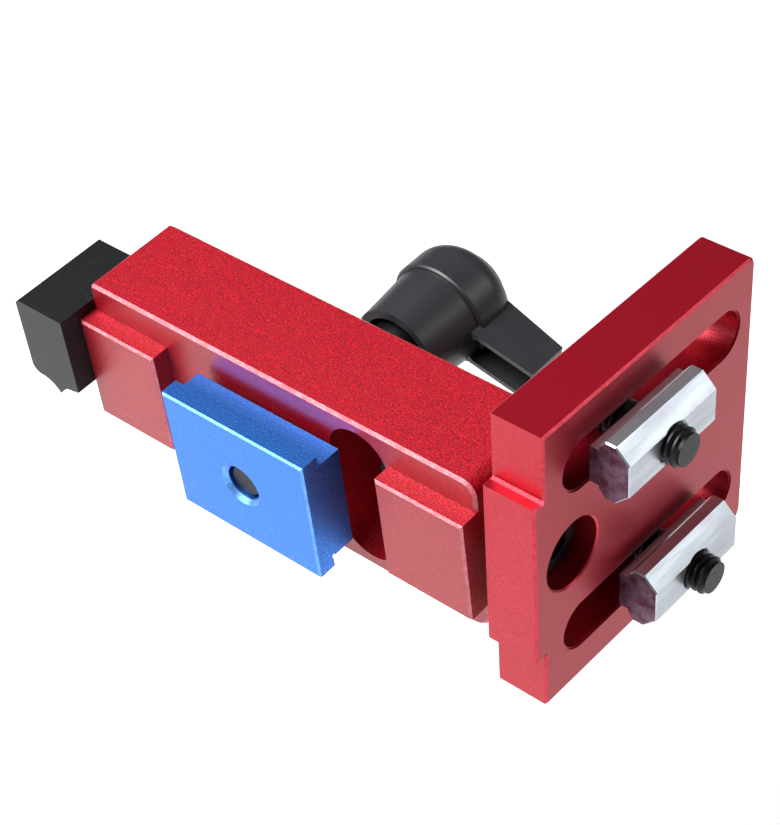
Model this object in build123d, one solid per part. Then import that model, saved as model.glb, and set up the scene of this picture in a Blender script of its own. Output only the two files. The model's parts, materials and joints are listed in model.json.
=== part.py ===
from build123d import *
import math
import os

# Clamp-on rail bracket with an end plate, in millimetres.
# Row frame: origin on the end plate's outer face, midway between its two slots.
# +X points out of that face, +Y runs along the slots to the back, +Z is up.
# The bar and everything on it are drawn in a bar frame, whose origin is where the clamp
# axis meets the bar's front face, and are then turned a little about the plate screw.

# --- driving dimensions: end plate ---
PLATE_T = 8.8
PLATE_LENGTH = 48.0
PLATE_HEIGHT = 50.0
SLOT_PITCH = 30.0
SLOT_WIDTH = 8.0
SLOT_LENGTH = 40.6
SLOT_FRONT_MARGIN = 4.2
PLATE_KEY_HEIGHT = 28.8
PLATE_KEY_PROUD = 2.0
PLATE_KEY_DROP = 0.5
RELIEF_SIDE = 0.6
SWIVEL_FROM_FRONT = 6.2
PLATE_TOP_ROUND = 1.2
PLATE_FOOT_ROUND = 3.0
PLATE_BEVEL = 0.35
HOLE_BEVEL = 0.25
COUNTERBORE_R = 5.6
COUNTERBORE_DEPTH = 7.2
M6_CLEAR_R = 3.2
PLATE_SCREW_R = 2.94
PLATE_SCREW_TIP = -32.2
PLATE_HEAD_R = 5.0
PLATE_HEAD_TOP = -3.2
PLATE_HEX = 5.0
HEX_DEPTH = 2.2

# --- driving dimensions: bar ---
BAR_LENGTH = 74.6
BAR_DEPTH = 17.5
BAR_HEIGHT = 29.1
BAR_TILT = 3.8
BAR_DROP = 0.15
SWIVEL_UP = 2.9
SPACER_T = 2.4
SPACER_R = 4.9
BAR_END_ROUND = 2.3
BAR_FOOT_ROUND = 1.0
BAR_BEVEL = 0.45
PAD_LENGTH = 15.6
PAD_HEIGHT = 19.0
PAD_PROUD = 3.3
PAD_BEVEL = 0.35
POCKET_WIDTH = 10.8
POCKET_HEIGHT = 25.2
POCKET_DEPTH = 14.0
POCKET_FROM_PAD = 0.4
TAPPED_R = 2.95

# --- driving dimensions: clamp key, stud and lever ---
CLAMP_TO_BAR_END = 37.5
KEY_LENGTH = 27.5
KEY_HEAD_HEIGHT = 22.2
KEY_HEAD_T = 3.15
KEY_NECK_HEIGHT = 18.4
KEY_NECK_T = 4.5
KEY_GAP = 1.1
KEY_BEVEL = 0.3
KEY_BORE_R = 3.0
KEY_SINK = 0.9
STUD_R = 2.95
STUD_RECESS = 1.1
STUD_THREAD_END = 16.0
STUD_END = 32.5
THREAD_PITCH = 1.0
THREAD_DEPTH = 0.5
THREAD_BEVEL = 0.45
WASHER_T = 1.6
WASHER_R = 8.0
INSERT_R = 5.0
SPLINES = 18
SPLINE_DEPTH = 0.5
SPLINE_FRONT = 33.2
INSERT_BACK = 36.3
RETAINER_R = 1.95
HUB_FRONT = 26.0
HUB_RIM_R = 7.4
HUB_BORE_R = 6.0
HUB_NECK_R = 8.25
HEAD_FRONT = 36.2
HEAD_R = 8.95
HEAD_SIDE_END = 40.6
HEAD_SHOULDER_R = 8.2
HEAD_SHOULDER = 43.3
HEAD_TOP = 45.0
WEB_FRONT = 36.5
WEB_BACK = 37.4
RETAINER_SEAT = 42.9
RETAINER_HEAD_T = 1.2
CAP_R = 5.75
CAP_FRONT = 44.25
CAP_PROUD = 0.8
ARM_FRONT = 34.4
ARM_REACH = 19.5
ARM_TURN = 12.8
ARM_HALF_WIDTH = 3.32
ARM_ROOT_T = 10.3
ARM_TIP_T = 7.65
ARM_WALL = 0.8
ARM_TIP_WALL = 0.4
ARM_RECESS_DEPTH = 4.2
SPRING_WIRE_R = 0.3
SPRING_MEAN_R = 3.6
SPRING_TURNS = 2.5

# --- driving dimensions: slot nuts, their screws and the stop foot ---
NUT_LENGTH = 19.8
NUT_WIDTH = 9.9
NUT_BODY_T = 4.9
NUT_NECK_WIDTH = 6.2
NUT_NECK_T = 1.5
NUT_CHAMFER = 2.25
NUT_END_BEVEL = 0.2
SCREW_R = 2.95
SCREW_LENGTH = 19.0
SCREW_HEAD_R = 5.2
SCREW_HEAD_T = 1.5
SLOT_WASHER_T = 0.5
SLOT_WASHER_R = 5.6
SLOT_SCREW_HEX = 3.0
UPPER_NUT_FROM_FRONT = 18.7
LOWER_NUT_FROM_FRONT = 26.6
UPPER_NUT_GAP = 0.8
LOWER_NUT_GAP = 0.25
FOOT_T = 10.2
FOOT_TOP = 11.3
FOOT_FRONT = -6.8
FOOT_DEPTH = 17.5
FOOT_BEVEL = 0.6
FOOT_LIP_TOP = -3.4
FOOT_SCREW_Y = 5.4
FOOT_SCREW_Z = (8.0, 0.8)
FOOT_SCREW_R = 1.48
FOOT_HEAD_R = 2.8
FOOT_SCREW_LENGTH = 20.0

# --- derived places ---
PLATE_FRONT = -(SLOT_FRONT_MARGIN + SLOT_LENGTH / 2)
SWIVEL_Y = PLATE_FRONT + SWIVEL_FROM_FRONT
BAR_END_X = -(PLATE_T + SPACER_T)
CLAMP_X = BAR_END_X - CLAMP_TO_BAR_END
BAR_LEFT = CLAMP_TO_BAR_END - BAR_LENGTH
KEY_BACK = -KEY_GAP
KEY_NECK_FRONT = KEY_BACK - KEY_NECK_T
KEY_FRONT = KEY_NECK_FRONT - KEY_HEAD_T
BAR_PLACE = Pos(0, SWIVEL_Y, 0) * Rot(BAR_TILT, 0, 0) * Pos(CLAMP_X, -SWIVEL_FROM_FRONT, -SWIVEL_UP)


def block(x0, x1, y0, y1, z0, z1):
    """A box between two corners."""
    return Pos((x0 + x1) / 2, (y0 + y1) / 2, (z0 + z1) / 2) * Box(x1 - x0, y1 - y0, z1 - z0)


def rod_x(radius, x0, x1, y=0.0, z=0.0):
    """A round rod along X."""
    return Pos((x0 + x1) / 2, y, z) * Rot(0, 90, 0) * Cylinder(radius, x1 - x0)


def rod_y(radius, y0, y1, x=0.0, z=0.0):
    """A round rod along Y."""
    return Pos(x, (y0 + y1) / 2, z) * Rot(90, 0, 0) * Cylinder(radius, y1 - y0)


def turned_x(points, x=0.0, y=0.0, z=0.0):
    """A solid of revolution about X, from (along, radius) points."""
    face = make_face(Polyline(*[(a, r) for a, r in points], close=True))
    return Pos(x, y, z) * revolve(face, Axis.X)


def turned_y(points):
    """A solid of revolution about Y, from (radius, along) points."""
    return revolve(make_face(Polyline(*points, close=True)), Axis.Y)


def hex_prism_x(across_flats, x0, x1, y=0.0, z=0.0):
    """A hexagonal prism along X, for socket recesses."""
    face = RegularPolygon(across_flats / math.sqrt(3), 6)
    return Pos(x0, y, z) * Rot(0, 90, 0) * extrude(face, x1 - x0)


def slot_x(length, width, x0, x1, z):
    """An obround prism along X, its long side along Y."""
    face = Plane.YZ * SlotOverall(length, width)
    return Pos(x0, 0, z) * extrude(face, x1 - x0)


def ridged(radius, start, end, chamfer):
    """(along, radius) outline of a thread drawn as rings, one ridge to each pitch, both ends bevelled."""
    root = radius - THREAD_DEPTH
    crest = THREAD_PITCH / 8
    count = int((end - start - 2 * chamfer) / THREAD_PITCH)
    first = (start + end - count * THREAD_PITCH) / 2
    points = [(start, 0), (start, radius - chamfer)]
    for i in range(count):
        a = first + i * THREAD_PITCH
        points += [(a, root), (a + THREAD_PITCH / 2 - crest, radius), (a + THREAD_PITCH / 2 + crest, radius)]
    points += [(first + count * THREAD_PITCH, root), (end, radius - chamfer), (end, 0)]
    return points


def edges_at(solid, axis, value, tolerance=0.01):
    """The solid's edges that lie wholly in one plane."""
    return solid.edges().filter_by_position(axis, value - tolerance, value + tolerance)


def back_corners(plate, back):
    """The plate's two corner edges along its back end, upper one last."""
    return plate.edges().filter_by(Axis.X).filter_by_position(Axis.Y, back - 0.1, back + 0.1).sort_by(Axis.Z)


def make_end_plate():
    back = PLATE_FRONT + PLATE_LENGTH
    half = PLATE_HEIGHT / 2
    plate = block(-PLATE_T, 0, PLATE_FRONT, back, -half, half)
    plate = fillet(back_corners(plate, back)[-1:], PLATE_TOP_ROUND)
    plate = fillet(back_corners(plate, back)[:1], PLATE_FOOT_ROUND)
    key_low = -PLATE_KEY_DROP - PLATE_KEY_HEIGHT / 2
    plate = plate + block(
        -PLATE_T, 0, PLATE_FRONT - PLATE_KEY_PROUD, PLATE_FRONT, key_low, key_low + PLATE_KEY_HEIGHT,
    )
    plate = chamfer(edges_at(plate, Axis.X, 0) + edges_at(plate, Axis.X, -PLATE_T), PLATE_BEVEL)
    for z in (key_low, key_low + PLATE_KEY_HEIGHT):
        corner = Pos(-PLATE_T / 2, PLATE_FRONT - 0.1, z) * Rot(45, 0, 0)
        plate = plate - corner * Box(PLATE_T + 2, RELIEF_SIDE, RELIEF_SIDE)
    for z in (SLOT_PITCH / 2, -SLOT_PITCH / 2):
        plate = plate - slot_x(SLOT_LENGTH, SLOT_WIDTH, -PLATE_T - 1, 1, z)
        plate = plate - slot_x(SLOT_LENGTH + 2 * HOLE_BEVEL, SLOT_WIDTH + 2 * HOLE_BEVEL, -HOLE_BEVEL, 1, z)
    plate = plate - rod_x(M6_CLEAR_R, -PLATE_T - 1, 1, SWIVEL_Y)
    plate = plate - rod_x(COUNTERBORE_R, -COUNTERBORE_DEPTH, 1, SWIVEL_Y)
    rim = [
        (-HOLE_BEVEL, 0), (-HOLE_BEVEL, COUNTERBORE_R),
        (HOLE_BEVEL, COUNTERBORE_R + 2 * HOLE_BEVEL), (HOLE_BEVEL, 0),
    ]
    return plate - turned_x(rim, 0, SWIVEL_Y)


def make_plate_spacer():
    end = -PLATE_T - 0.01
    bore = rod_x(M6_CLEAR_R, BAR_END_X - 1, end + 1, SWIVEL_Y)
    return rod_x(SPACER_R, BAR_END_X + 0.01, end, SWIVEL_Y) - bore


def make_plate_screw():
    seat = -COUNTERBORE_DEPTH + 0.05
    head = rod_x(PLATE_HEAD_R, seat, PLATE_HEAD_TOP, SWIVEL_Y)
    head = chamfer(edges_at(head, Axis.X, PLATE_HEAD_TOP), 0.4)
    head = head + rod_x(PLATE_SCREW_R, -16.0, seat, SWIVEL_Y)
    thread = turned_x(ridged(PLATE_SCREW_R, PLATE_SCREW_TIP, -15.0, THREAD_BEVEL), 0, SWIVEL_Y)
    return head + thread - hex_prism_x(PLATE_HEX, PLATE_HEAD_TOP - HEX_DEPTH, PLATE_HEAD_TOP + 0.2, SWIVEL_Y)


def make_bar():
    half = BAR_HEIGHT / 2
    right = CLAMP_TO_BAR_END
    bar = block(BAR_LEFT, right, 0, BAR_DEPTH, -half, half)
    ends = bar.edges().filter_by(Axis.Y)
    bar = fillet(ends.filter_by_position(Axis.X, right - 0.1, right + 0.1), BAR_END_ROUND)
    ends = bar.edges().filter_by(Axis.Y)
    bar = fillet(ends.filter_by_position(Axis.X, BAR_LEFT - 0.1, BAR_LEFT + 0.1), BAR_FOOT_ROUND)
    long_edges = [e for e in bar.edges().filter_by(Axis.X) if abs(abs(e.center().Z) - half) < 0.01]
    bar = Pos(0, 0, -BAR_DROP) * chamfer(long_edges, BAR_BEVEL)
    for x0 in (BAR_LEFT, right - PAD_LENGTH):
        pad_low = -PAD_HEIGHT / 2 - BAR_DROP
        pad = block(x0, x0 + PAD_LENGTH, -PAD_PROUD, 0.5, pad_low, pad_low + PAD_HEIGHT)
        pad = chamfer(edges_at(pad, Axis.Y, -PAD_PROUD), PAD_BEVEL)
        bar = bar + pad
    bar = bar - rod_y(M6_CLEAR_R, -1, BAR_DEPTH + 1)
    pocket_x = right - PAD_LENGTH - POCKET_WIDTH / 2 - POCKET_FROM_PAD
    pocket = extrude(Plane.XZ * Rot(0, 0, 90) * SlotOverall(POCKET_HEIGHT, POCKET_WIDTH), -POCKET_DEPTH)
    bar = bar - Pos(pocket_x, 0, 0) * pocket
    bar = bar - rod_x(TAPPED_R, pocket_x, right + 1, SWIVEL_FROM_FRONT, SWIVEL_UP)
    for z in FOOT_SCREW_Z:
        bar = bar - rod_x(1.5, BAR_LEFT - 1, BAR_LEFT + 11, FOOT_SCREW_Y, z)
    return bar


def foot_outline():
    """The foot's outline in X and Z: square above, with a small hooked lip below."""
    right = BAR_LEFT
    left = right - FOOT_T
    low = FOOT_LIP_TOP
    bend = left + 5.5
    return make_face(Curve() + [
        Polyline((left + 8.4, low), (right, low + 0.4), (right, FOOT_TOP), (left + FOOT_BEVEL, FOOT_TOP)),
        Polyline((left + FOOT_BEVEL, FOOT_TOP), (left, FOOT_TOP - FOOT_BEVEL), (left, low + 1.5)),
        ThreePointArc((left, low + 1.5), (left + 0.45, low + 0.5), (left + 1.6, low)),
        ThreePointArc((left + 1.6, low), (left + 4.2, low - 0.7), (bend, low - 2.1)),
        ThreePointArc((bend, low - 2.1), (left + 6.7, low - 0.6), (left + 8.4, low)),
    ])


def make_foot_block():
    foot = Pos(0, FOOT_FRONT + FOOT_DEPTH, 0) * extrude(Plane.XZ * foot_outline(), FOOT_DEPTH)
    left = BAR_LEFT - FOOT_T
    shank_r = FOOT_SCREW_R + 0.17
    head_r = FOOT_HEAD_R + 0.2
    sink = [(-1, 0), (-1, head_r), (0.2, head_r), (0.25 + FOOT_SCREW_R, 1.5), (0.25 + FOOT_SCREW_R, 0)]
    for z in FOOT_SCREW_Z:
        foot = foot - rod_x(shank_r, left - 1, BAR_LEFT + 1, FOOT_SCREW_Y, z)
        foot = foot - turned_x(sink, left, FOOT_SCREW_Y, z)
    return foot


def make_foot_screws():
    left = BAR_LEFT - FOOT_T
    head_end = 0.3 + FOOT_HEAD_R / 2
    outline = [
        (0.3, 0), (0.3, FOOT_HEAD_R), (head_end, FOOT_SCREW_R),
        (FOOT_SCREW_LENGTH, FOOT_SCREW_R), (FOOT_SCREW_LENGTH, 0),
    ]
    screws = []
    for z in FOOT_SCREW_Z:
        screw = turned_x(outline, left, FOOT_SCREW_Y, z)
        screws.append(screw - hex_prism_x(2.0, left, left + 1.5, FOOT_SCREW_Y, z))
    return Compound(children=screws)


def make_key_block():
    half = KEY_LENGTH / 2
    head = block(-half, half, KEY_FRONT, KEY_NECK_FRONT, -KEY_HEAD_HEIGHT / 2, KEY_HEAD_HEIGHT / 2)
    head = chamfer(edges_at(head, Axis.Y, KEY_FRONT), KEY_BEVEL)
    neck = block(-half, half, KEY_NECK_FRONT - 0.5, KEY_BACK, -KEY_NECK_HEIGHT / 2, KEY_NECK_HEIGHT / 2)
    key = head + chamfer(edges_at(neck, Axis.Y, KEY_BACK), 0.25)
    for side in (1, -1):
        corner = Pos(0, KEY_NECK_FRONT + 0.1, side * KEY_NECK_HEIGHT / 2) * Rot(45, 0, 0)
        key = key - corner * Box(KEY_LENGTH + 2, RELIEF_SIDE, RELIEF_SIDE)
    key = key - rod_y(KEY_BORE_R, KEY_FRONT - 1, KEY_BACK + 1)
    mouth = KEY_FRONT - 0.2
    sink = [(0, mouth), (KEY_BORE_R + KEY_SINK, mouth), (KEY_BORE_R, mouth + KEY_SINK), (0, mouth + KEY_SINK)]
    return key - turned_y(sink)


def make_clamp_stud():
    outline = ridged(STUD_R, KEY_FRONT + STUD_RECESS, STUD_THREAD_END, THREAD_BEVEL)
    thread = turned_y([(r, a) for a, r in outline])
    return thread + rod_y(STUD_R - 0.001, STUD_THREAD_END - 1, STUD_END)


def make_thrust_washer():
    back = BAR_DEPTH + WASHER_T
    washer = rod_y(WASHER_R, BAR_DEPTH + 0.02, back) - rod_y(STUD_R + 0.2, BAR_DEPTH - 1, back + 1)
    return chamfer(edges_at(washer, Axis.Y, back), 0.3)


def spline_prism(tip_r, y0, y1):
    """A star-shaped prism along Y, the form that the insert's teeth and their bore share."""
    points = []
    for i in range(2 * SPLINES):
        r = tip_r if i % 2 == 0 else tip_r - SPLINE_DEPTH
        angle = math.pi * i / SPLINES
        points.append((r * math.cos(angle), r * math.sin(angle)))
    face = Plane.XZ * make_face(Polyline(*points, close=True))
    return Pos(0, y1, 0) * extrude(face, y1 - y0)


def make_lever_insert():
    front = BAR_DEPTH + WASHER_T + 0.1
    insert = rod_y(INSERT_R, front, SPLINE_FRONT)
    insert = chamfer(edges_at(insert, Axis.Y, front), 0.4)
    insert = insert + spline_prism(INSERT_R, SPLINE_FRONT, INSERT_BACK)
    insert = insert - rod_y(STUD_R, front - 1, STUD_END + 0.1)
    return insert - rod_y(RETAINER_R, STUD_END - 0.5, INSERT_BACK + 1)


def handle_body():
    """Hub skirt and domed head, turned about the clamp axis."""
    flange_r = HEAD_R - 0.25
    seat_r = CAP_R + 0.35
    outline = Curve() + [
        Polyline((0, HUB_FRONT), (HUB_RIM_R, HUB_FRONT), (HUB_NECK_R, HEAD_FRONT), (flange_r, HEAD_FRONT)),
        Polyline((flange_r, HEAD_FRONT), (HEAD_R, HEAD_FRONT + 0.3), (HEAD_R, HEAD_SIDE_END)),
        ThreePointArc((HEAD_R, HEAD_SIDE_END), (HEAD_SHOULDER_R, HEAD_SHOULDER), (seat_r, HEAD_TOP)),
        Polyline((seat_r, HEAD_TOP), (0, HEAD_TOP), (0, HUB_FRONT)),
    ]
    return revolve(make_face(outline), Axis.Y)


def arm_blank():
    """The arm before hollowing: level in front, thinning behind towards a square tip."""
    back_root = ARM_FRONT + ARM_ROOT_T
    back_tip = ARM_FRONT + ARM_TIP_T
    side = Polyline((0, ARM_FRONT), (ARM_REACH, ARM_FRONT), (ARM_REACH, back_tip), (0, back_root), close=True)
    arm = extrude(make_face(side), ARM_HALF_WIDTH, both=True)
    return fillet(arm.edges().sort_by(Axis.Y)[-4:], 0.5)


def arm_recess():
    """The rimmed hollow in the arm's front face, rounded at its hub end."""
    half = ARM_HALF_WIDTH - ARM_WALL
    front, back = ARM_FRONT - 1, ARM_FRONT + ARM_RECESS_DEPTH
    pocket = block(HUB_NECK_R - 0.5, ARM_REACH - ARM_TIP_WALL, front, back, -half, half)
    return fillet(pocket.edges().filter_by(Axis.Y).sort_by(Axis.X)[:2], 1.2)


def make_lever_handle():
    handle = handle_body() + Rot(0, ARM_TURN, 0) * (arm_blank() - arm_recess())
    handle = handle - rod_y(HUB_BORE_R, HUB_FRONT - 1, SPLINE_FRONT + 0.05)
    handle = handle - spline_prism(INSERT_R + 0.12, SPLINE_FRONT - 1, WEB_FRONT)
    handle = handle - rod_y(2.4, WEB_FRONT - 1, WEB_BACK + 1)
    return handle - rod_y(CAP_R + 0.04, WEB_BACK, HEAD_TOP + 3)


def make_lever_cap():
    back = HEAD_TOP + CAP_PROUD
    return chamfer(edges_at(rod_y(CAP_R, CAP_FRONT, back), Axis.Y, back), 0.3)


def make_lever_cap_screw():
    top = RETAINER_SEAT + RETAINER_HEAD_T
    head_r = CAP_R - 0.5
    head = chamfer(edges_at(rod_y(head_r, RETAINER_SEAT, top), Axis.Y, top), 0.3)
    screw = head + rod_y(RETAINER_R - 0.01, STUD_END + 0.5, RETAINER_SEAT)
    return screw - block(-CAP_R, CAP_R, top - 0.6, top + 1, -0.5, 0.5)


def make_lever_spring():
    low = WEB_BACK + SPRING_WIRE_R + 0.03
    height = RETAINER_SEAT - SPRING_WIRE_R - 0.03 - low
    coil = Helix(height / SPRING_TURNS, height, SPRING_MEAN_R)
    wire = Plane(coil @ 0, z_dir=coil % 0) * Circle(SPRING_WIRE_R)
    return Pos(0, low, 0) * Rot(-90, 0, 0) * sweep(wire, path=coil)


def make_tnut(from_front, slot_z, gap):
    """A slot nut: a narrow neck towards the plate and a bevelled body outside it."""
    y = PLATE_FRONT + from_front
    shoulder = gap + NUT_NECK_T
    top = shoulder + NUT_BODY_T
    wide = NUT_WIDTH / 2
    neck = NUT_NECK_WIDTH / 2
    half = [
        (gap, neck), (shoulder, neck), (shoulder + 0.15, wide - 0.9), (shoulder + 0.9, wide),
        (top - NUT_CHAMFER, wide), (top, wide - NUT_CHAMFER),
    ]
    outline = half + [(x, -z) for x, z in reversed(half)]
    face = Plane.XZ * make_face(Polyline(*outline, close=True))
    nut = extrude(face, NUT_LENGTH)
    ends = edges_at(nut, Axis.Y, 0) + edges_at(nut, Axis.Y, -NUT_LENGTH)
    nut = chamfer([e for e in ends if e.center().X > shoulder + 0.5], NUT_END_BEVEL)
    nut = Pos(0, y + NUT_LENGTH / 2, slot_z) * nut
    nut = nut - rod_x(SCREW_R + 0.05, gap - 1, top + 1, y, slot_z)
    sink = [(top - 0.3, 0), (top - 0.3, SCREW_R + 0.05), (top + 0.1, SCREW_R + 0.45), (top + 0.1, 0)]
    return nut - turned_x(sink, 0, y, slot_z)


def make_tnut_washer(from_front, slot_z):
    y = PLATE_FRONT + from_front
    outer = rod_x(SLOT_WASHER_R, -PLATE_T - SLOT_WASHER_T, -PLATE_T - 0.02, y, slot_z)
    return outer - rod_x(SCREW_R + 0.15, -PLATE_T - 2, -PLATE_T + 1, y, slot_z)


def make_tnut_screw(from_front, slot_z):
    y = PLATE_FRONT + from_front
    seat = -PLATE_T - SLOT_WASHER_T - 0.02
    head = rod_x(SCREW_HEAD_R, seat - SCREW_HEAD_T, seat, 0, 0)
    head = chamfer(edges_at(head, Axis.X, seat - SCREW_HEAD_T), 0.35)
    shank = turned_x(ridged(SCREW_R, seat, seat + SCREW_LENGTH, THREAD_BEVEL))
    screw = head + shank - hex_prism_x(SLOT_SCREW_HEX, seat - SCREW_HEAD_T - 1, seat + 0.6)
    return Pos(0, y, slot_z) * screw


def bar_parts():
    """Every piece that turns with the bar, in the bar frame."""
    return {
        "bar": make_bar(),
        "foot_block": make_foot_block(),
        "foot_screws": make_foot_screws(),
        "thrust_washer": make_thrust_washer(),
        "key_block": make_key_block(),
        "clamp_stud": make_clamp_stud(),
        "lever_insert": make_lever_insert(),
        "lever_handle": make_lever_handle(),
        "lever_cap": make_lever_cap(),
        "lever_cap_screw": make_lever_cap_screw(),
        "lever_spring": make_lever_spring(),
    }


def plate_parts():
    """Every piece drawn straight in the row frame."""
    parts = {
        "end_plate": make_end_plate(),
        "plate_spacer": make_plate_spacer(),
        "plate_screw": make_plate_screw(),
    }
    rows = (
        ("upper", UPPER_NUT_FROM_FRONT, SLOT_PITCH / 2, UPPER_NUT_GAP),
        ("lower", LOWER_NUT_FROM_FRONT, -SLOT_PITCH / 2, LOWER_NUT_GAP),
    )
    for name, from_front, z, gap in rows:
        parts["tnut_" + name] = make_tnut(from_front, z, gap)
        parts["tnut_washer_" + name] = make_tnut_washer(from_front, z)
        parts["tnut_screw_" + name] = make_tnut_screw(from_front, z)
    return parts


def main():
    os.makedirs("parts", exist_ok=True)
    parts = plate_parts()
    for name, solid in bar_parts().items():
        parts[name] = BAR_PLACE * solid
    for name, solid in parts.items():
        export_step(solid, "parts/" + name + ".step")


main()
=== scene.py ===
import json
import math

import bmesh
import bpy
from mathutils import Euler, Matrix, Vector


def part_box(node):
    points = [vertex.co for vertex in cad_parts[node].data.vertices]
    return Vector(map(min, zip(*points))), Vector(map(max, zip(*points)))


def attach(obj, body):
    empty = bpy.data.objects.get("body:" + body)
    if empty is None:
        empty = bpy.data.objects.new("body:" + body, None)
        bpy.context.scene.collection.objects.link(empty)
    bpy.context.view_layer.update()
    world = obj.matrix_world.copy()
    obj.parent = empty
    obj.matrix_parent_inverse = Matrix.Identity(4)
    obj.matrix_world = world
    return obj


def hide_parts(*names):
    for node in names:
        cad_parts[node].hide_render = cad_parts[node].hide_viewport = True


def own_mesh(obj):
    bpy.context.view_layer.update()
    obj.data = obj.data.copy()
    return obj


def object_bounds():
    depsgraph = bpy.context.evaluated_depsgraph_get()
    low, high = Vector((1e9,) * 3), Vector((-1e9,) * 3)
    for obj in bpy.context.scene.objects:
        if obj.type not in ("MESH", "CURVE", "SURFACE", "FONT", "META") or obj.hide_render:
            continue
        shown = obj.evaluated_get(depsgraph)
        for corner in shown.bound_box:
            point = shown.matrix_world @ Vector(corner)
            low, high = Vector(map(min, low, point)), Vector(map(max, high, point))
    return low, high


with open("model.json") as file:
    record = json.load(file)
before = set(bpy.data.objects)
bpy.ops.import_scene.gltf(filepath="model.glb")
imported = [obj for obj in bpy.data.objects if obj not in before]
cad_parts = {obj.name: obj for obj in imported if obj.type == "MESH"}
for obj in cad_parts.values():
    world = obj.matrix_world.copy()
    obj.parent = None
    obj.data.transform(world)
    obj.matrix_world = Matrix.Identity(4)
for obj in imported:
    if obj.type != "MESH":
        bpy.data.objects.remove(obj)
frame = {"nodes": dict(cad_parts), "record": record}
CAD_BOX = [list(corner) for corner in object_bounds()]
NODES = frame["nodes"]
MM = 0.001

# The return spring inside the lever, as part.py has it.
SPRING_MEAN_R = 3.6 * MM
SPRING_WIRE_R = 0.3 * MM
SPRING_TURNS = 2.5
SPRING_LENGTH = 5.44 * MM
SPRING_STEPS = 72
WIRE_SIDES = 12

# The stage, in metres, watts and degrees, with the lens and sensor in millimetres.
CAMERA_PLACE = (0.12869, -0.18779, 0.20918)
CAMERA_TURN = (49.622, 3.363, 40.841)
CAMERA_LENS = 95.9
CAMERA_SENSOR = 36.0
CAMERA_SHIFT = (0.0092, -0.0165)
FLOOR_DROP = 0.09
FLOOR_REACH = 3.0
FLOOR_GLOW = 0.52
SKY_STRENGTH = 0.07
LIGHT_TARGET = (-0.05, -0.01, 0.0)
SOFTBOXES = (
    ("top_box", (-0.3, -0.4, 0.72), (0.6, 0.6), 19.0),
    ("front_box", (-0.35, -0.5, 0.0), (0.5, 0.3), 0.6),
    ("edge_box", (-0.6, -0.7, 0.5), (0.5, 0.5), 3.0),
    ("back_box", (0.7, 0.6, 0.57), (0.4, 0.4), 2.0),
)


# --- node helpers ---

class Tree:
    """A material's node tree with short calls for the nodes used here."""

    def __init__(self, name):
        self.material = bpy.data.materials.new(name)
        self.material.use_nodes = True
        self.nodes = self.material.node_tree.nodes
        self.links = self.material.node_tree.links
        self.shader = self.nodes["Principled BSDF"]
        self.place = self.add("ShaderNodeTexCoord").outputs["Object"]

    def add(self, kind, **settings):
        node = self.nodes.new(kind)
        for key, value in settings.items():
            setattr(node, key, value)
        return node

    def feed(self, socket, value):
        if isinstance(value, bpy.types.NodeSocket):
            self.links.new(value, socket)
        else:
            socket.default_value = value

    def stretched(self, scale):
        node = self.add("ShaderNodeMapping")
        self.feed(node.inputs["Vector"], self.place)
        node.inputs["Scale"].default_value = scale
        return node.outputs["Vector"]

    def noise(self, scale, detail=2.0, roughness=0.5, vector=None):
        node = self.add("ShaderNodeTexNoise")
        self.feed(node.inputs["Vector"], vector or self.place)
        node.inputs["Scale"].default_value = scale
        node.inputs["Detail"].default_value = detail
        node.inputs["Roughness"].default_value = roughness
        return node.outputs["Fac"]

    def cells(self, scale):
        node = self.add("ShaderNodeTexVoronoi")
        self.feed(node.inputs["Vector"], self.place)
        node.inputs["Scale"].default_value = scale
        return node.outputs["Distance"]

    def span(self, value, low, high, start=0.0, end=1.0):
        node = self.add("ShaderNodeMapRange")
        self.feed(node.inputs["Value"], value)
        for key, number in (("From Min", start), ("From Max", end), ("To Min", low), ("To Max", high)):
            node.inputs[key].default_value = number
        return node.outputs["Result"]

    def math(self, operation, a, b):
        node = self.add("ShaderNodeMath", operation=operation)
        self.feed(node.inputs[0], a)
        self.feed(node.inputs[1], b)
        return node.outputs["Value"]

    def mix(self, factor, a, b):
        node = self.add("ShaderNodeMix", data_type="RGBA")
        self.feed(node.inputs["Factor"], factor)
        self.feed(node.inputs["A"], a)
        self.feed(node.inputs["B"], b)
        return node.outputs["Result"]

    def bump(self, height, strength, distance):
        node = self.add("ShaderNodeBump")
        self.feed(node.inputs["Height"], height)
        node.inputs["Strength"].default_value = strength
        node.inputs["Distance"].default_value = distance
        return node.outputs["Normal"]

    def facing(self, axis):
        """How squarely the surface faces along one of the object's own axes, 0 to 1."""
        split = self.add("ShaderNodeSeparateXYZ")
        self.feed(split.inputs[0], self.add("ShaderNodeTexCoord").outputs["Normal"])
        return self.math("ABSOLUTE", split.outputs[axis], 0.0)

    def on_bevel(self, axis):
        """1 on the narrow 45 degree faces beside an axis, 0 on square faces."""
        off = self.math("ABSOLUTE", self.math("SUBTRACT", self.facing(axis), 0.7), 0.0)
        return self.span(off, 1.0, 0.0, 0.1, 0.25)

    def finish(self, **inputs):
        for key, value in inputs.items():
            self.feed(self.shader.inputs[key.replace("_", " ")], value)
        return self.material


def rgb(r, g, b):
    return (r, g, b, 1.0)


# --- materials ---

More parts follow.
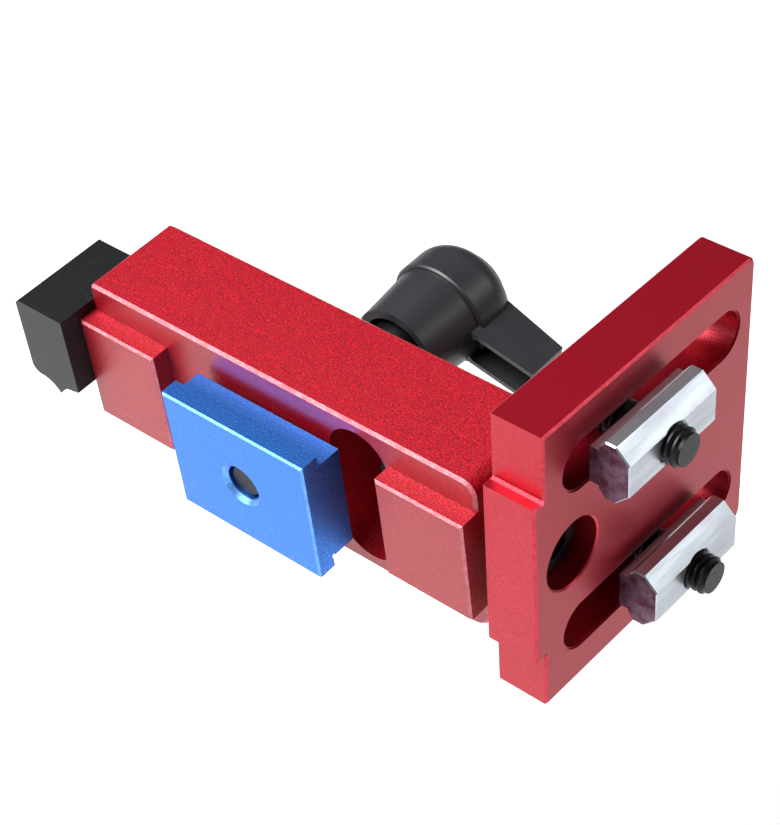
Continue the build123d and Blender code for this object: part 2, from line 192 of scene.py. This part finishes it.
def anodised(name, body, bright, deep, bevel_highlight, edge_axis, relief, sparkle, metallic, coat):
    """Bead-blasted aluminium under a coloured satin film, with a painted highlight on the bevels: a paler
    colour laid on them in noisy patches.

    The faces square to edge_axis were milled after blasting, so their grain is faint.
    """
    tree = Tree(name)
    grain = tree.noise(4400.0, 1.0, 0.5)
    peen = tree.cells(3400.0)
    cloud = tree.noise(38.0, 2.0)
    shade = tree.mix(tree.span(cloud, 0.0, 0.35, 0.3, 0.8), body, deep)
    blasted = tree.span(tree.facing(edge_axis), 1.0, 0.3, 0.8, 0.95)
    glint = tree.math("MULTIPLY", tree.span(grain, 0.0, sparkle, 0.42, 0.68), blasted)
    colour = tree.mix(glint, shade, bright)
    # Painted highlight: the narrow bevels are mixed, in noisy patches, towards a paler colour that stands in
    # for light catching the chamfers.
    bevel = tree.on_bevel(edge_axis)
    highlight_patches = tree.span(tree.noise(700.0, 3.0, 0.6), 0.3, 0.65, 0.35, 0.65)
    colour = tree.mix(tree.math("MULTIPLY", bevel, highlight_patches), colour, bevel_highlight)
    height = tree.math("ADD", grain, tree.math("MULTIPLY", peen, 0.6))
    height = tree.math("MULTIPLY", height, blasted)
    return tree.finish(
        Base_Color=colour, Roughness=tree.span(grain, 0.48, 0.34, 0.3, 0.75),
        Normal=tree.bump(height, 0.8, relief * MM), Metallic=metallic,
        Coat_Weight=coat, Coat_Roughness=0.3, Coat_IOR=1.5, Coat_Tint=rgb(1.0, 0.96, 1.0),
    )


def black_anodised():
    """Matt black film on machined aluminium, with faint tool lines."""
    tree = Tree("foot_black")
    grain = tree.noise(2200.0, 3.0, 0.6)
    lines = tree.noise(900.0, 1.0, 0.5, tree.stretched((0.04, 1.0, 1.0)))
    patch = tree.span(grain, 0.0, 1.0, 0.35, 0.8)
    colour = tree.mix(patch, rgb(0.004, 0.005, 0.006), rgb(0.014, 0.015, 0.017))
    normal = tree.bump(tree.math("ADD", grain, lines), 0.3, 0.03 * MM)
    return tree.finish(
        Base_Color=colour, Roughness=tree.span(grain, 0.52, 0.4), Normal=normal, Metallic=0.3,
        Specular_IOR_Level=0.35, Coat_Weight=0.05, Coat_Roughness=0.4,
    )


def black_oxide():
    """Blackened screw steel: slightly uneven, with bare metal just showing on the highest spots."""
    tree = Tree("black_oxide")
    grain = tree.noise(1500.0, 4.0, 0.6)
    cloud = tree.noise(260.0, 2.0)
    patch = tree.span(cloud, 0.0, 1.0, 0.35, 0.75)
    colour = tree.mix(patch, rgb(0.008, 0.008, 0.009), rgb(0.03, 0.03, 0.033))
    colour = tree.mix(tree.span(grain, 0.0, 0.5, 0.66, 0.8), colour, rgb(0.3, 0.31, 0.33))
    normal = tree.bump(grain, 0.3, 0.03 * MM)
    return tree.finish(Base_Color=colour, Roughness=tree.span(grain, 0.48, 0.3), Normal=normal, Metallic=0.8)


def bright_zinc(name, streaks, violet=0.35, sawn=0.0):
    """Zinc plate over a drawn surface: bluish grey, violet bands. With sawn=1 the ends are dull purple."""
    tree = Tree(name)
    drawn = tree.noise(520.0, 3.0, 0.6, tree.stretched(streaks))
    pits = tree.noise(2400.0, 3.0, 0.6)
    band = tree.noise(160.0, 1.0)
    tinge = tree.span(band, 0.0, violet, 0.45, 0.75)
    colour = tree.mix(tinge, rgb(0.52, 0.57, 0.61), rgb(0.42, 0.33, 0.46))
    colour = tree.mix(tree.span(drawn, 0.0, 0.5, 0.4, 0.75), colour, rgb(0.26, 0.28, 0.31))
    end = tree.span(tree.facing("Y"), 0.0, sawn, 0.8, 0.95)
    mottle = tree.span(tree.noise(420.0, 3.0, 0.6), 0.0, 1.0, 0.4, 0.65)
    blotch = tree.mix(mottle, rgb(0.09, 0.025, 0.05), rgb(0.2, 0.13, 0.19))
    colour = tree.mix(end, colour, blotch)
    height = tree.math("ADD", tree.math("MULTIPLY", drawn, 0.8), tree.math("MULTIPLY", pits, 0.5))
    normal = tree.bump(height, 0.4, 0.08 * MM)
    rough = tree.math("ADD", tree.span(drawn, 0.26, 0.42), tree.math("MULTIPLY", end, 0.15))
    return tree.finish(Base_Color=colour, Roughness=rough, Normal=normal, Metallic=0.9)


def plain_steel(name, tint, rough):
    """Turned or drawn steel with a light grain."""
    tree = Tree(name)
    grain = tree.noise(1400.0, 3.0, 0.6)
    dark = rgb(*[channel * 0.6 for channel in tint])
    colour = tree.mix(tree.span(grain, 0.0, 0.7, 0.3, 0.8), rgb(*tint), dark)
    normal = tree.bump(grain, 0.25, 0.03 * MM)
    return tree.finish(
        Base_Color=colour, Roughness=tree.span(grain, rough, rough + 0.12), Normal=normal, Metallic=1.0,
    )


def moulded_black(name, tone, rough):
    """Glass-filled nylon: near-black with a very fine spark-eroded skin."""
    tree = Tree(name)
    skin = tree.noise(2800.0, 2.0, 0.5)
    cloud = tree.noise(70.0, 2.0)
    dark = rgb(tone, tone * 1.05, tone * 1.2)
    pale = rgb(tone * 1.5, tone * 1.6, tone * 1.8)
    colour = tree.mix(tree.span(cloud, 0.0, 1.0, 0.3, 0.7), dark, pale)
    normal = tree.bump(skin, 0.18, 0.03 * MM)
    return tree.finish(
        Base_Color=colour, Roughness=tree.span(skin, rough + 0.06, rough - 0.06), Normal=normal,
        Specular_IOR_Level=0.5,
    )


# In each anodised finish, the colour given after the three body colours is the painted highlight laid on its
# bevels.
MATERIALS = {
    "red_plate": anodised(
        "red_plate", rgb(0.35, 0.003, 0.016), rgb(0.55, 0.012, 0.035), rgb(0.29, 0.002, 0.013),
        bevel_highlight=rgb(0.72, 0.04, 0.07), edge_axis="X", relief=0.03, sparkle=0.5, metallic=0.7, coat=0.25,
    ),
    "red_bar": anodised(
        "red_bar", rgb(0.23, 0.001, 0.007), rgb(0.62, 0.008, 0.026), rgb(0.18, 0.001, 0.005),
        bevel_highlight=rgb(0.7, 0.24, 0.28), edge_axis="Y", relief=0.08, sparkle=0.95, metallic=0.3, coat=0.3,
    ),
    "blue_key": anodised(
        "blue_key", rgb(0.036, 0.185, 0.7), rgb(0.1, 0.34, 0.92), rgb(0.028, 0.16, 0.6),
        bevel_highlight=rgb(0.24, 0.5, 0.92), edge_axis="Y", relief=0.04, sparkle=0.7, metallic=0.97, coat=0.05,
    ),
    "foot_black": black_anodised(),
    "black_oxide": black_oxide(),
    "steel_spacer": plain_steel("steel_spacer", (0.06, 0.06, 0.065), 0.3),
    "zinc_washer": bright_zinc("zinc_washer", (1.0, 1.0, 1.0), 0.15),
    "insert_steel": plain_steel("insert_steel", (0.05, 0.05, 0.055), 0.35),
    "lever_black": moulded_black("lever_black", 0.014, 0.4),
    "cap_black": moulded_black("cap_black", 0.02, 0.3),
    "retainer_steel": plain_steel("retainer_steel", (0.5, 0.5, 0.51), 0.3),
    "spring_steel": plain_steel("spring_steel", (0.5, 0.5, 0.51), 0.25),
    "zinc_nut": bright_zinc("zinc_nut", (1.0, 0.08, 1.0), 0.35, 1.0),
}


def dress_nodes():
    """Gives every CAD node the finished material for its slot."""
    for part in frame["record"]["subparts"]:
        node = NODES[part["node"]]
        node.data.materials.clear()
        node.data.materials.append(MATERIALS[part["material_slot"]])


def spring_rings(centre, axis, length):
    """Rings of points round the wire of the lever's return spring, from its near end to its far end."""
    side = Vector((1.0, 0.0, 0.0))
    other = axis.cross(side)
    rise = length - 2 * SPRING_WIRE_R
    rings = []
    for step in range(SPRING_STEPS + 1):
        share = step / SPRING_STEPS
        angle = math.tau * SPRING_TURNS * share
        outward = side * math.cos(angle) + other * math.sin(angle)
        around = other * math.cos(angle) - side * math.sin(angle)
        forward = around * (math.tau * SPRING_TURNS * SPRING_MEAN_R) + axis * rise
        across = forward.normalized().cross(outward)
        middle = centre + outward * SPRING_MEAN_R + axis * (rise * (share - 0.5))
        ring = []
        for corner in range(WIRE_SIDES):
            turn = math.tau * corner / WIRE_SIDES
            ring.append(middle + (outward * math.cos(turn) + across * math.sin(turn)) * SPRING_WIRE_R)
        rings.append(ring)
    return rings


def tube_mesh(name, rings):
    """A closed tube through rings of points."""
    sides = len(rings[0])
    points = [point for ring in rings for point in ring]
    faces = [tuple(range(sides)), tuple(len(points) - 1 - corner for corner in range(sides))]
    for start in range(0, len(points) - sides, sides):
        for corner in range(sides):
            after = (corner + 1) % sides
            faces.append((start + corner, start + after, start + sides + after, start + sides + corner))
    mesh = bpy.data.meshes.new(name)
    mesh.from_pydata(points, [], faces)
    shape = bmesh.new()
    shape.from_mesh(mesh)
    bmesh.ops.recalc_face_normals(shape, faces=shape.faces)
    shape.to_mesh(mesh)
    shape.free()
    mesh.polygons.foreach_set("use_smooth", [True] * len(mesh.polygons))
    return mesh


def make_spring(material):
    """The lever's return spring, which in the real lever shortens towards its retainer as the handle is
    lifted; here it is a fixed coil riding on the spindle in place of the CAD spring.
    """
    joints = frame["record"]["behaviour"]["joints"]
    lift = next(joint for joint in joints if joint["name"] == "handle_lift")
    axis = Vector(lift["axis"]).normalized()
    low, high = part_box("lever_spring")
    centre = (low + high) / 2
    mesh = tube_mesh("return_spring", spring_rings(centre, axis, SPRING_LENGTH))
    mesh.materials.append(material)
    spring = bpy.data.objects.new("return_spring", mesh)
    bpy.context.scene.collection.objects.link(spring)
    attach(spring, "spindle")
    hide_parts("lever_spring")
    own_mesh(spring)


# --- stage ---

def make_floor():
    """A wide pale plane well below the object, bright enough to read as white."""
    mesh = bpy.data.meshes.new("floor")
    level = CAD_BOX[0][2] - FLOOR_DROP
    corners = [(x * FLOOR_REACH, y * FLOOR_REACH, level) for x, y in ((-1, -1), (1, -1), (1, 1), (-1, 1))]
    mesh.from_pydata(corners, [], [(0, 1, 2, 3)])
    floor = bpy.data.objects.new("floor", mesh)
    bpy.context.collection.objects.link(floor)
    tree = Tree("floor_white")
    tone = tree.mix(tree.noise(3.0), rgb(0.49, 0.49, 0.49), rgb(0.51, 0.51, 0.51))
    white = tree.finish(
        Base_Color=tone, Roughness=0.9, Emission_Color=rgb(1.0, 1.0, 1.0), Emission_Strength=FLOOR_GLOW,
    )
    mesh.materials.append(white)


def softbox(name, place, size, power):
    """A white area light that faces the object."""
    light = bpy.data.lights.new(name, "AREA")
    light.shape = "RECTANGLE"
    light.size, light.size_y = size
    light.energy = power
    lamp = bpy.data.objects.new(name, light)
    lamp.location = place
    lamp.rotation_euler = (Vector(LIGHT_TARGET) - Vector(place)).to_track_quat("-Z", "Y").to_euler()
    bpy.context.collection.objects.link(lamp)


def make_world():
    """An even, faint white sky."""
    world = bpy.data.worlds.new("studio")
    world.use_nodes = True
    sky = world.node_tree.nodes["Background"]
    sky.inputs["Color"].default_value = rgb(1.0, 1.0, 1.0)
    sky.inputs["Strength"].default_value = SKY_STRENGTH
    bpy.context.scene.world = world


def make_camera():
    """A long lens above and to the right of the end plate."""
    camera = bpy.data.cameras.new("camera")
    camera.lens = CAMERA_LENS
    camera.sensor_width = CAMERA_SENSOR
    camera.shift_x, camera.shift_y = CAMERA_SHIFT
    camera.clip_start = 0.01
    holder = bpy.data.objects.new("camera", camera)
    holder.location = CAMERA_PLACE
    holder.rotation_euler = Euler([math.radians(angle) for angle in CAMERA_TURN])
    bpy.context.collection.objects.link(holder)
    bpy.context.scene.camera = holder


dress_nodes()
make_spring(MATERIALS["spring_steel"])
make_floor()
for name, place, size, power in SOFTBOXES:
    softbox(name, place, size, power)
make_world()
make_camera()
bpy.context.scene.view_settings.view_transform = "Standard"
